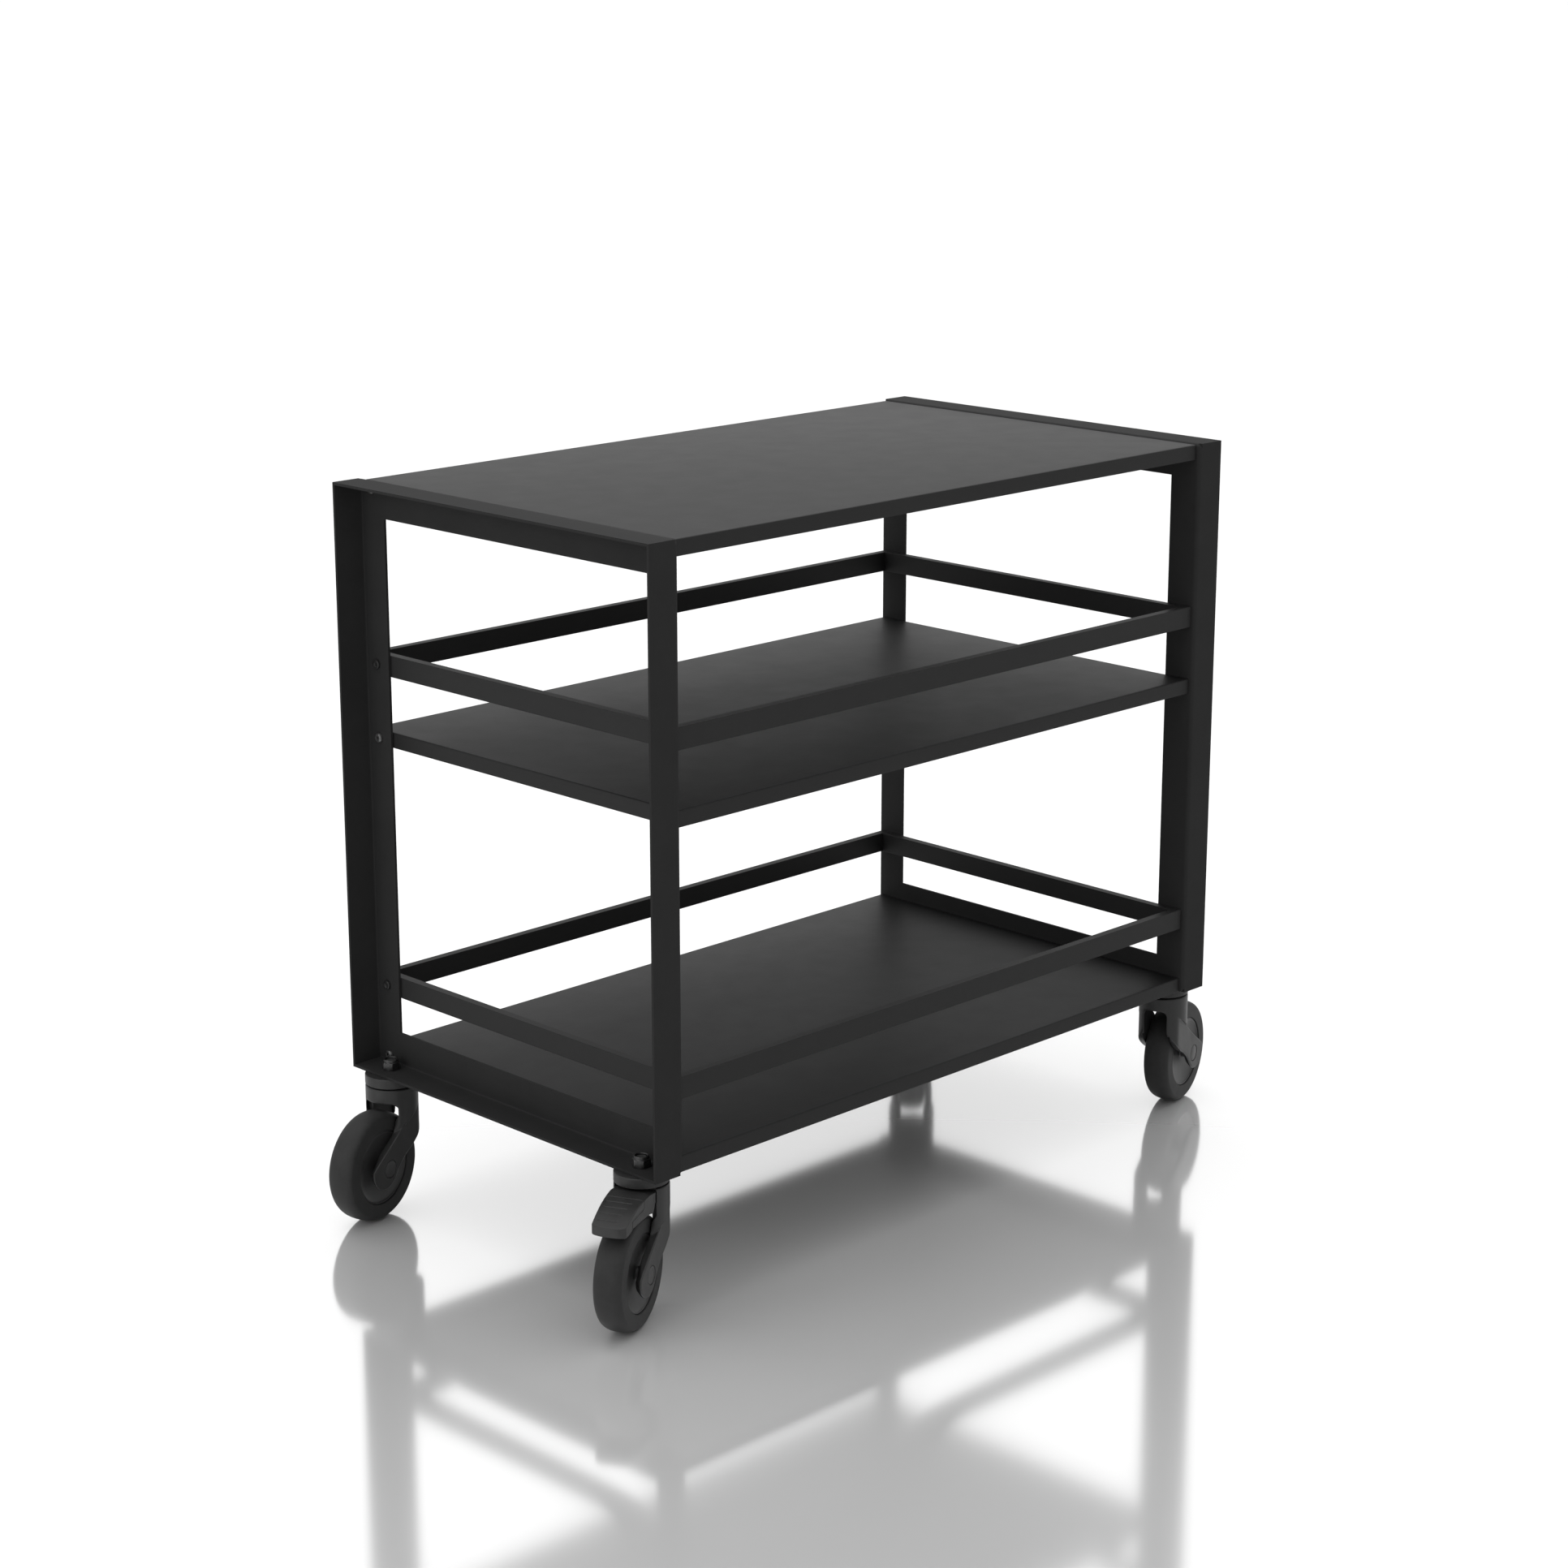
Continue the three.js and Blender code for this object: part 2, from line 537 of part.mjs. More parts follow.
function addCaster({ name, end, side, yaw, brake }) {
  const caster = new THREE.Group();
  caster.position.set(end * casterAlong, side * casterAcross, frameFoot);
  cart.add(caster);
  addMesh(caster, `caster_cap_${name}`, capSolid(), housingPlastic);
  addMesh(caster, `caster_stem_${name}`, stemSolid(), greyScrew);
  addMesh(caster, `caster_nut_${name}`, nutSolid(), blackScrew);
  const swivel = new THREE.Group();
  swivel.rotation.z = THREE.MathUtils.degToRad(yaw);
  caster.add(swivel);
  addMesh(swivel, `caster_fork_${name}`, forkSolid(brake), housingPlastic);
  if (brake) addMesh(swivel, `brake_pedal_${name}`, pedalSolid(), housingPlastic);
  const wheel = new THREE.Group();
  wheel.position.set(CASTER_TRAIL, 0, -axleDrop);
  swivel.add(wheel);
  addMesh(wheel, `axle_${name}`, axleSolid(), hubPlastic);
  const spin = new THREE.Group();
  spin.rotation.y = Math.PI / WHEEL_SIDES;
  wheel.add(spin);
  addMesh(spin, `wheel_hub_${name}`, hubSolid(), hubPlastic);
  addMesh(spin, `tyre_${name}`, tyreSolid(), tyreRubber);
}

CASTERS.forEach(addCaster);

// The origin is under the middle of the whole cart, on the floor.
cart.updateMatrixWorld(true);
const middle = new THREE.Box3().setFromObject(cart, true).getCenter(new THREE.Vector3());
cart.position.set(-middle.x, -middle.y, 0);

export default cart;
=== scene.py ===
import json
import math
import bmesh
import bpy
import numpy as np
from mathutils import Matrix, Vector

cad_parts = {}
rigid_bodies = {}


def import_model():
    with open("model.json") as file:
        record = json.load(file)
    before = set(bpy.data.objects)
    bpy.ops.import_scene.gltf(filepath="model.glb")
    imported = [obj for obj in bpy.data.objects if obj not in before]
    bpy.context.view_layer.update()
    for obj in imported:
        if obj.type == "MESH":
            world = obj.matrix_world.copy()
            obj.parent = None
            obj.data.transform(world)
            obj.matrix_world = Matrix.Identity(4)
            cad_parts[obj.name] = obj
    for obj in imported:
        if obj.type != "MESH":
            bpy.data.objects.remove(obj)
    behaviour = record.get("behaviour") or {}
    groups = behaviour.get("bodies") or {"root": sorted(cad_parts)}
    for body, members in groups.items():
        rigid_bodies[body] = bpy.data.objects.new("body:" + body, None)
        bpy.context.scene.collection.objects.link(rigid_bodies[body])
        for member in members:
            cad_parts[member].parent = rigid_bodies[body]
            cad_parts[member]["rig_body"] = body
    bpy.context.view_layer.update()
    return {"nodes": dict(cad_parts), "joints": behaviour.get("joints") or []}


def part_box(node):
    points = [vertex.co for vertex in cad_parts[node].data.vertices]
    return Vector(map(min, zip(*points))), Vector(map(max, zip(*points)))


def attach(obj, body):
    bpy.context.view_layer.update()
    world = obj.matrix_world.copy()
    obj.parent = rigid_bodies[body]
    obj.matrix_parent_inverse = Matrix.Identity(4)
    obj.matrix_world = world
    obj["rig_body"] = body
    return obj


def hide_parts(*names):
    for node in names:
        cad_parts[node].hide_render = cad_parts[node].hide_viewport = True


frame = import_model()

MM = 0.001
CASTERS = ("front_left", "back_left", "front_right", "back_right")
BRAKED = "front_left"
JOINTS = {joint["name"]: joint for joint in frame["joints"]}

# The casters are shaped in millimetres, in coordinates of their own: u trails behind the swivel
# axis, v runs along the axle and z is up from the frame's foot.
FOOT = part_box("end_frame_left")[0].z / MM
AXLE_DROP = FOOT - JOINTS["roll_front_left"]["pos_m"][2] / MM
TRAIL = 39.0
FLANGE_TOP = 3.0
GAP = 0.3

HOUSING_RADIUS = 29.4
CAP_FOOT = -11.4
FORK_TOP = -12.7
LEG = 26.1  # outer face of a leg, from the middle
WELL = 17.5  # inner face of a leg
WELL_TOP = -30.0
FRONT_WINDOW = 14.6  # half the width of each window
BACK_WINDOW = 22.9
BACK_WINDOW_FOOT = -56.0
PIVOT = (17.0, -21.5)  # the pedal's pivot
PEDAL_TIP = (93.0, -29.8)

WHEEL_RADIUS = 62.1
TYRE_SIDE = 55.6  # radius where the tread begins to round over
TYRE_HALF = 16.0
HUB_RADIUS = 41.9
HUB_HALF = 17.2
AXLE_RADIUS = 5.0
AXLE_HEAD = 9.8
STEM_RADIUS = 6.0
STEM_HEAD = 10.0
THREAD_PITCH = 1.5
NUT_FLATS = 18.0
NUT_BORE = 6.3


# ---------------------------------------------------------------- materials
def nodes_of(name):
    """A new material with its node tree, its principled shader and a texture coordinate node."""
    material = bpy.data.materials.new(name)
    material.use_nodes = True
    tree = material.node_tree
    return material, tree, tree.nodes["Principled BSDF"], tree.nodes.new("ShaderNodeTexCoord")


def noise(tree, coord, scale, detail=2.0, roughness=0.5, stretch=None):
    """Noise in the object's own coordinates, its scale in features per metre."""
    source = coord.outputs["Object"]
    if stretch:
        mapping = tree.nodes.new("ShaderNodeMapping")
        mapping.inputs["Scale"].default_value = stretch
        tree.links.new(source, mapping.inputs["Vector"])
        source = mapping.outputs["Vector"]
    node = tree.nodes.new("ShaderNodeTexNoise")
    node.inputs["Scale"].default_value = scale
    node.inputs["Detail"].default_value = detail
    node.inputs["Roughness"].default_value = roughness
    tree.links.new(source, node.inputs["Vector"])
    return node.outputs["Fac"]


def spread(tree, value, low, high):
    """Maps the middle of a noise onto low to high."""
    node = tree.nodes.new("ShaderNodeMapRange")
    node.inputs["From Min"].default_value = 0.3
    node.inputs["From Max"].default_value = 0.7
    node.inputs["To Min"].default_value = low
    node.inputs["To Max"].default_value = high
    tree.links.new(value, node.inputs["Value"])
    return node.outputs["Result"]


def shades(tree, value, dark, light):
    """A grey between two levels, led by the middle of a noise."""
    ramp = tree.nodes.new("ShaderNodeValToRGB")
    for element, position, level in zip(ramp.color_ramp.elements, (0.3, 0.7), (dark, light)):
        element.position = position
        element.color = (level, level, level, 1.0)
    tree.links.new(value, ramp.inputs["Fac"])
    return ramp.outputs["Color"]


def bump(tree, heights):
    """Stacks bumps of (height, strength, depth in metres) and returns the normal."""
    normal = None
    for height, strength, depth in heights:
        node = tree.nodes.new("ShaderNodeBump")
        node.inputs["Strength"].default_value = strength
        node.inputs["Distance"].default_value = depth
        tree.links.new(height, node.inputs["Height"])
        if normal is not None:
            tree.links.new(normal, node.inputs["Normal"])
        normal = node.outputs["Normal"]
    return normal


def weighted_sum(tree, first, share, second):
    """share of the first value and the rest of the second."""
    rest = tree.nodes.new("ShaderNodeMath")
    rest.operation = "MULTIPLY"
    rest.inputs[1].default_value = 1 - share
    tree.links.new(second, rest.inputs[0])
    both = tree.nodes.new("ShaderNodeMath")
    both.operation = "MULTIPLY_ADD"
    both.inputs[1].default_value = share
    tree.links.new(first, both.inputs[0])
    tree.links.new(rest.outputs[0], both.inputs[2])
    return both.outputs[0]


def powder_coat(name, level, rough, shine, peel=0.35):
    """Satin powder coat: fine orange peel, a little pigment mottle and uneven gloss."""
    material, tree, shader, coord = nodes_of(name)
    mottle = noise(tree, coord, 28.0)
    pigment = noise(tree, coord, 1900.0, 2.0, 0.6)
    fine = noise(tree, coord, 950.0, 3.0, 0.55)
    waves = noise(tree, coord, 260.0)
    colour = shades(tree, weighted_sum(tree, mottle, 0.45, pigment), level * 0.9, level * 1.1)
    tree.links.new(colour, shader.inputs["Base Color"])
    tree.links.new(spread(tree, mottle, rough - 0.012, rough + 0.015), shader.inputs["Roughness"])
    tree.links.new(bump(tree, [(waves, peel, 0.00012), (fine, peel, 0.00006)]), shader.inputs["Normal"])
    shader.inputs["Specular IOR Level"].default_value = shine
    return material


def moulded_plastic(name, level, rough, shine, grain=0.4):
    """Moulded plastic: spark-eroded grain and faint flow marks."""
    material, tree, shader, coord = nodes_of(name)
    flow = noise(tree, coord, 60.0, 3.0, 0.55, (1.0, 1.0, 0.45))
    grains = noise(tree, coord, 1500.0, 3.0, 0.6)
    tree.links.new(shades(tree, flow, level * 0.86, level * 1.14), shader.inputs["Base Color"])
    tree.links.new(spread(tree, flow, rough - 0.05, rough + 0.05), shader.inputs["Roughness"])
    tree.links.new(bump(tree, [(grains, grain, 0.00004)]), shader.inputs["Normal"])
    shader.inputs["Specular IOR Level"].default_value = shine
    return material


def dark_metal(name, level, rough):
    """Blackened or zinc-plated steel: turned marks, blotches and worn gloss."""
    material, tree, shader, coord = nodes_of(name)
    blotch = noise(tree, coord, 420.0, 4.0, 0.65)
    scratch = noise(tree, coord, 900.0, stretch=(1.0, 1.0, 7.0))
    tree.links.new(shades(tree, blotch, level * 0.7, level * 1.3), shader.inputs["Base Color"])
    tree.links.new(spread(tree, scratch, rough - 0.07, rough + 0.1), shader.inputs["Roughness"])
    tree.links.new(bump(tree, [(scratch, 0.25, 0.00003)]), shader.inputs["Normal"])
    shader.inputs["Metallic"].default_value = 0.85
    return material


def tread_rubber(name, level, rough, shine):
    """Grey-black rubber: matt, with a fine grain and a faint bloom."""
    material, tree, shader, coord = nodes_of(name)
    bloom = noise(tree, coord, 70.0, 5.0, 0.65)
    grain = noise(tree, coord, 1300.0, 3.0, 0.6)
    pits = noise(tree, coord, 380.0)
    tree.links.new(shades(tree, bloom, level * 0.8, level * 1.25), shader.inputs["Base Color"])
    tree.links.new(spread(tree, bloom, rough - 0.05, rough + 0.07), shader.inputs["Roughness"])
    tree.links.new(bump(tree, [(pits, 0.2, 0.0001), (grain, 0.35, 0.00005)]), shader.inputs["Normal"])
    shader.inputs["Specular IOR Level"].default_value = shine
    return material


# Each finish: how it is made, its grey level and roughness, then its shine and its grain.
FINISHES = {
    "frame_coat": (powder_coat, 0.0165, 0.62, 0.03),
    "deck_coat": (powder_coat, 0.0055, 0.5, 0.16, 0.45),
    "rail_coat": (powder_coat, 0.0115, 0.5, 0.1),
    "button_screw": (dark_metal, 0.08, 0.42),
    "socket_screw": (dark_metal, 0.03, 0.45),
    "caster_housing": (moulded_plastic, 0.013, 0.44, 0.24),
    "caster_steel": (dark_metal, 0.1, 0.4),
    "lock_nut": (dark_metal, 0.04, 0.38),
    "axle_cap": (moulded_plastic, 0.018, 0.42, 0.24),
    "wheel_hub": (moulded_plastic, 0.02, 0.42, 0.26, 0.3),
    "tyre": (tread_rubber, 0.015, 0.6, 0.16),
}
LOOKS = {slot: make(slot, *settings) for slot, (make, *settings) in FINISHES.items()}


# ---------------------------------------------------------------- mesh helpers
def add_object(name, mesh):
    piece = bpy.data.objects.new(name, mesh)
    bpy.context.scene.collection.objects.link(piece)
    return piece


def finish_mesh(name, vertices, faces, smooth_angle):
    """An object from points in metres and faces, smooth except across sharp edges."""
    mesh = bpy.data.meshes.new(name)
    mesh.from_pydata([tuple(v) for v in vertices], [], [tuple(int(i) for i in f) for f in faces])
    mesh.validate()
    mesh.shade_smooth()
    mesh.set_sharp_from_angle(angle=math.radians(smooth_angle))
    return add_object(name, mesh)


def settle(piece, node, slot):
    """Stands a piece for a CAD node: its body, its finish and its material."""
    piece.data.materials.clear()
    piece.data.materials.append(LOOKS[slot])
    bpy.context.view_layer.update()
    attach(piece, frame["nodes"][node]["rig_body"])
    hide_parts(node)


def bake(piece):
    """Applies a piece's modifiers to its mesh."""
    graph = bpy.context.evaluated_depsgraph_get()
    mesh = bpy.data.meshes.new_from_object(piece.evaluated_get(graph))
    piece.modifiers.clear()
    old = piece.data
    piece.data = mesh
    bpy.data.meshes.remove(old)


def softened(node, slot, width, bend_angle):
    """A copy of a folded sheet or tube with its cut edges broken and its bends smooth."""
    mesh = frame["nodes"][node].data.copy()
    piece = add_object("look_" + node, mesh)
    work = bmesh.new()
    work.from_mesh(mesh)
    bmesh.ops.remove_doubles(work, verts=work.verts, dist=0.00002)
    bmesh.ops.dissolve_limit(
        work, angle_limit=math.radians(1.0), use_dissolve_boundaries=False,
        verts=work.verts, edges=work.edges)
    work.to_mesh(mesh)
    work.free()
    if "custom_normal" in mesh.attributes:
        mesh.attributes.remove(mesh.attributes["custom_normal"])
    mesh.shade_smooth()
    mesh.set_sharp_from_angle(angle=math.radians(bend_angle))
    edge = piece.modifiers.new("edge", "BEVEL")
    edge.width = width * MM
    edge.segments = 2
    edge.limit_method = "ANGLE"
    edge.angle_limit = math.radians(bend_angle + 5)
    edge.harden_normals = True
    bake(piece)
    settle(piece, node, slot)


def ring_mesh(name, profile, sides, place, smooth_angle=35.0):
    """A turned piece about local Z. Each profile entry is (radius, z) or (function of angle, z)."""
    points, faces = [], []
    angles = [2 * math.pi * i / sides for i in range(sides)]
    rows = []
    for radius, z in profile:
        if not callable(radius) and radius == 0:
            rows.append([len(points)])
            points.append((0.0, 0.0, z))
            continue
        rows.append(list(range(len(points), len(points) + sides)))
        for angle in angles:
            r = radius(angle) if callable(radius) else radius
            points.append((r * math.cos(angle), r * math.sin(angle), z))
    for low, high in zip(rows, rows[1:]):
        for i in range(sides):
            j = (i + 1) % sides
            if len(low) == 1:
                faces.append((low[0], high[j], high[i]))
            elif len(high) == 1:
                faces.append((low[i], low[j], high[0]))
            else:
                faces.append((low[i], low[j], high[j], high[i]))
    return finish_mesh(name, [place @ (Vector(p) * MM) for p in points], faces, smooth_angle)


def hexagon(flats, limit=None):
    """Radius of a hexagon over its flats, by angle, no more than limit."""
    def radius(angle):
        within = (angle % (math.pi / 3)) - math.pi / 6
        r = flats / 2 / math.cos(within)
        return min(r, limit) if limit else r
    return radius


# ---------------------------------------------------------------- outlines and distance fields
def bezier(p0, p1, p2, p3, steps=10):
    """Points along a cubic curve, the first left out."""
    t = np.linspace(0, 1, steps + 1)[1:, None]
    a, b, c, d = (np.array(p, float) for p in (p0, p1, p2, p3))
    line = (1 - t) ** 3 * a + 3 * t * (1 - t) ** 2 * b + 3 * t * t * (1 - t) * c + t ** 3 * d
    return [tuple(p) for p in line]


def arc(cx, cy, radius, start, end, steps):
    turns = np.linspace(start, end, steps)
    return [(cx + radius * math.cos(a), cy + radius * math.sin(a)) for a in turns]


def smooth_max(a, b, k):
    """The larger of two distances, rounded over k where they meet."""
    return np.maximum(a, b) + np.maximum(k - np.abs(a - b), 0.0) ** 2 / (4 * k)


def smooth_min(a, b, k):
    return -smooth_max(-a, -b, k)


def carve(body, tool, k):
    """body without tool, its new edges rounded by k."""
    return smooth_max(body, -tool, k)


def outline_distance(points, u, z):
    """Signed distance to a closed outline in u and z, negative inside, for every v."""
    x, y = u[:, 0, :], z[:, 0, :]
    corners = np.array(points, float)
    best = np.full(x.shape, 1e9)
    inside = np.zeros(x.shape, bool)
    for (ax, ay), (bx, by) in zip(corners, np.roll(corners, -1, axis=0)):
        ex, ey = bx - ax, by - ay
        t = np.clip(((x - ax) * ex + (y - ay) * ey) / (ex * ex + ey * ey + 1e-12), 0, 1)
        best = np.minimum(best, np.hypot(x - ax - t * ex, y - ay - t * ey))
        crosses = ((ay > y) != (by > y)) & (x < (bx - ax) * (y - ay) / (by - ay + 1e-12) + ax)
        inside ^= crosses
    return np.where(inside, -best, best)[:, None, :]


def crossings(value, step, low):
    """The point of each grid cell that the surface passes through, and each cell's index or -1."""
    size = value.shape

    def corner(offset):
        return tuple(slice(o, n - 1 + o) for o, n in zip(offset, size))

    cells = tuple(n - 1 for n in size)
    total = np.zeros(cells + (3,))
    hits = np.zeros(cells)
    for a in ((i, j, k) for i in (0, 1) for j in (0, 1) for k in (0, 1)):
        for axis in range(3):
            if a[axis]:
                continue
            b = tuple(1 if i == axis else a[i] for i in range(3))
            va, vb = value[corner(a)], value[corner(b)]
            cross = (va < 0) != (vb < 0)
            t = np.where(cross, va / np.where(cross, va - vb, 1.0), 0.0)
            for i in range(3):
                total[..., i] += np.where(cross, a[i] + (t if i == axis else 0.0), 0.0)
            hits += cross
    used = hits > 0
    index = np.full(cells, -1, np.int64)
    index[used] = np.arange(used.sum())
    points = (np.argwhere(used) + total[used] / hits[used][:, None]) * step + np.array(low)
    return points, index


def surface(field, low, high, step):
    """Points and quads of field == 0 inside a box, in the field's units."""
    axes = [np.arange(low[i], high[i] + step, step) for i in range(3)]
    value = field(*np.meshgrid(*axes, indexing="ij"))
    inside = value < 0
    points, index = crossings(value, step, low)
    quads = []
    for axis in range(3):
        b, c = [(1, 2), (2, 0), (0, 1)][axis]
        near = [slice(1, n - 1) for n in value.shape]
        near[axis] = slice(0, value.shape[axis] - 1)
        far = list(near)
        far[axis] = slice(1, value.shape[axis])
        first, second = inside[tuple(near)], inside[tuple(far)]
        at = np.argwhere(first != second) + np.array([1 if i != axis else 0 for i in range(3)])
        flip = first[first != second]
        back_b = np.array([1 if i == b else 0 for i in range(3)])
        back_c = np.array([1 if i == c else 0 for i in range(3)])
        ring = [at - back_b - back_c, at - back_c, at, at - back_b]
        quad = np.stack([index[tuple(r.T)] for r in ring], axis=1)
        quads.append(np.where(flip[:, None], quad, quad[:, ::-1]))
    return points, np.concatenate(quads)


def slope_at(field, spots):
    """The field's unit gradient at each spot."""
    reach = 0.2
    slope = np.zeros(spots.shape)
    for axis in range(3):
        shift = np.zeros(3)
        shift[axis] = reach
        ahead, behind = (
            field(*(side.reshape(-1, 1, 1) for side in (spots + sign * shift).T)) for sign in (1, -1))
        slope[:, axis] = (ahead - behind).reshape(-1)
    return slope / np.maximum(np.linalg.norm(slope, axis=1), 1e-9)[:, None]


def field_mesh(name, field, low, high, step, keep):
    """A mesh from a distance field in millimetres, thinned to a share of its faces."""
    points, quads = surface(field, low, high, step)
    piece = finish_mesh(name, points * MM, quads, 180.0)
    thin = piece.modifiers.new("thin", "DECIMATE")
    thin.ratio = keep
    bake(piece)
    mesh = piece.data
    mesh.shade_smooth()
    normals = slope_at(field, np.array([v.co for v in mesh.vertices]) / MM)
    mesh.normals_split_custom_set_from_vertices([tuple(n) for n in normals])
    return piece


# ---------------------------------------------------------------- caster housing
def fork_outline():
    """Side view of the housing and a leg, from the top down the front and back up behind."""
    r = HOUSING_RADIUS
    front, back = -r + 3.9, r - 10.9
    lobe_u, lobe_radius = TRAIL + 8.0, 21.5
    line = [(-r - 4, FORK_TOP), (-r - 4, WELL_TOP), (-r + 0.5, WELL_TOP)]
    line += bezier(line[-1], (front - 0.6, WELL_TOP), (front, WELL_TOP - 0.6), (front, WELL_TOP - 5), 5)
    line += [(front, WELL_TOP - 20)]
    line += bezier(line[-1], (front + 1.5, -65), (-13, -79), (9.5, -90.5), 12)
    line += bezier(line[-1], (19, -97), (24, -104), (lobe_u - 15.5, -AXLE_DROP - 15), 6)
    line += arc(lobe_u, -AXLE_DROP, lobe_radius, -2.37, 0.2, 16)[1:]
    line += bezier(line[-1], (60, -87), (44, -78), (32, -69), 10)
    line += bezier(line[-1], (22, -61.5), (back, -56), (back, -48), 8)
    line += [(back, WELL_TOP - 9)]
    line += bezier(line[-1], (back, WELL_TOP - 2), (back + 2, WELL_TOP), (back + 7, WELL_TOP), 6)
    line += [(r + 4, WELL_TOP), (r + 4, FORK_TOP)]
    return line


def fork_body(u, v, z, flat):
    """The barrel and its two legs, before any window. The legs thin out at their lower edges."""
    across = np.abs(v)
    barrel = np.hypot(u, v) - HOUSING_RADIUS
    lean = math.radians(34)
    below = ((-47.0 - z) * math.cos(lean) - u * math.sin(lean))
    reach = smooth_min(barrel, smooth_max(-u, -below, 1.0), 1.5)
    side = smooth_min(across - LEG, below, 1.5)
    thinned = 2.4 - 1.2 * flat + np.clip((z + 92.0) / 18.0, 0, 1) * 9.0
    body = smooth_max(smooth_max(reach, side, 1.5), flat, 2.5)
    body = smooth_max(body, np.minimum(LEG - thinned - across, -60.0 - z), 1.5)
    return smooth_max(body, z - FORK_TOP, 0.8)


def back_window(u, v, z, braked):
    """The window behind the barrel. Over a pedal it is taller, with a square top."""
    across = np.abs(v)
    top = FORK_TOP + 3 if braked else WELL_TOP
    start = PIVOT[0] - 2 if braked else 12
    half = np.clip(BACK_WINDOW + (z + 42.0) * 0.6, WELL, BACK_WINDOW)
    if braked:
        window = np.maximum(across - half, z - top)
    else:
        window = smooth_max(across - half, z - top, 9.0)
    return np.maximum(np.maximum(window, start - u), BACK_WINDOW_FOOT - z)


def fork_field(braked):
    outline = fork_outline()

    def field(u, v, z):
        across = np.abs(v)
        body = fork_body(u, v, z, outline_distance(outline, u, z))
        well = np.maximum(np.maximum(across - WELL, -(u + HOUSING_RADIUS - 8)), z - WELL_TOP)
        body = carve(body, well, 1.2)
        front = np.maximum(smooth_max(across - FRONT_WINDOW, z - WELL_TOP, 8.5), u + 20)
        body = carve(body, front, 1.2)
        body = carve(body, back_window(u, v, z, braked), 0.4)
        if braked:
            root = np.hypot(u - PIVOT[0], z - PIVOT[1]) - 6.3
            body = carve(body, np.maximum(root, across - BACK_WINDOW), 0.3)
        seat = np.hypot(u - TRAIL, z + AXLE_DROP)
        body = carve(body, np.maximum(seat - AXLE_HEAD - 0.35, LEG - 2.6 - across), 0.6)
        body = carve(body, seat - AXLE_RADIUS - GAP, 0.5)
        return carve(body, np.hypot(u, v) - STEM_RADIUS - 0.3, 0.4)
    return field


# ---------------------------------------------------------------- brake pedal
def pedal_outline():
    """Side view of the pedal, from its root along the underside to the tip and back over the top."""
    line = [(17, -27.5), (23.4, -38.5)]
    line += bezier(line[-1], (27, -36.5), (31, -35.9), (37.4, -35.8), 5)
    line += [(71.5, -36.2)]
    line += bezier(line[-1], (77, -39.0), (82, -40.5), (91.5, -40.5), 6)
    line += [PEDAL_TIP]
    line += bezier(line[-1], (77, -22.3), (59, -14.0), (30, -13.6), 14)
    return line + [(17, -15.5)]


def pedal_field():
    """The pedal, with a fine groove round its cap and four grip grooves that shorten to the tip."""
    outline = pedal_outline()
    cap_edge = [(45.6, 5), (45.6, -22.5), (49, -24.6), (58, -25.4), (73.5, -27.6)]
    cap_edge += [(74.5, -60), (120, -60), (120, 5)]
    grips = ((55, 17, 11.5), (64.5, 16.5, 10), (74, 15.5, 8.5), (83.5, 14, 7))

    def field(u, v, z):
        side = outline_distance(outline, u, z)
        cap = outline_distance(cap_edge, u, z)
        across = np.abs(v)
        width = 22.6 - 3.8 * np.clip((u - 27) / 66, 0, 1)
        crown = (v / 22.0) ** 2 * 0.5
        body = smooth_max(side + crown, across - width, 1.6)
        body = smooth_max(body, np.hypot(u - 47.5, v) - 46.0, 1.6)
        over_tyre = np.maximum(np.hypot(u - TRAIL, z + AXLE_DROP) - 74.5, across - WELL)
        body = carve(body, over_tyre, 1.0)
        root = np.maximum(np.hypot(u - PIVOT[0], z - PIVOT[1]) - 6.0, across - 22.6)
        body = smooth_min(body, root, 0.8)
        body = carve(body, np.maximum(np.abs(cap) - 0.3, -(body + 0.55)), 0.25)
        for at, left, right in grips:
            band = np.maximum(np.abs(u - at) - 0.45, -(body + 0.6))
            grip = np.maximum(band, np.maximum(-v - left, v - right))
            body = carve(body, np.maximum(grip, -30.0 - z), 0.25)
        return body
    return field


# ---------------------------------------------------------------- screws
def screw_profile(head_radius, head_height, domed):
    shank_radius, shank_length, socket_depth = 3.0, 11.8, 1.8
    socket = hexagon(4.0)
    line = [(0, head_height - socket_depth), (socket, head_height - socket_depth)]
    if domed:
        line += [(socket, head_height - 0.15), (hexagon(4.5), head_height)]
        for i in range(9):
            turn = math.pi / 2 * (1 - i / 8)
            radius = shank_radius + (head_radius - shank_radius) * math.cos(turn) ** 0.8
            line.append((radius, head_height * math.sin(turn) ** 0.9))
    else:
        line += [(hexagon(5.4), head_height - 0.1), (hexagon(5.6), head_height)]
        line += [(head_radius - 0.8, head_height), (head_radius - 0.25, head_height - 0.25)]
        line += [(head_radius, head_height - 0.8), (head_radius, 0.0)]
    line += [(shank_radius, 0.0), (shank_radius, -shank_length), (0, -shank_length)]
    return line[::-1]


def add_screw(node, head_radius, head_height, domed, slot):
    low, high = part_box(node)
    centre = (low + high) / 2
    outward = 1 if centre.x > 0 else -1
    seat = high.x - head_height * MM if outward > 0 else low.x + head_height * MM
    turn = Matrix.Rotation(outward * math.pi / 2, 4, "Y")
    place = Matrix.Translation((seat, centre.y, centre.z)) @ turn
    profile = screw_profile(head_radius, head_height, domed)
    settle(ring_mesh("look_" + node, profile, 48, place), node, slot)


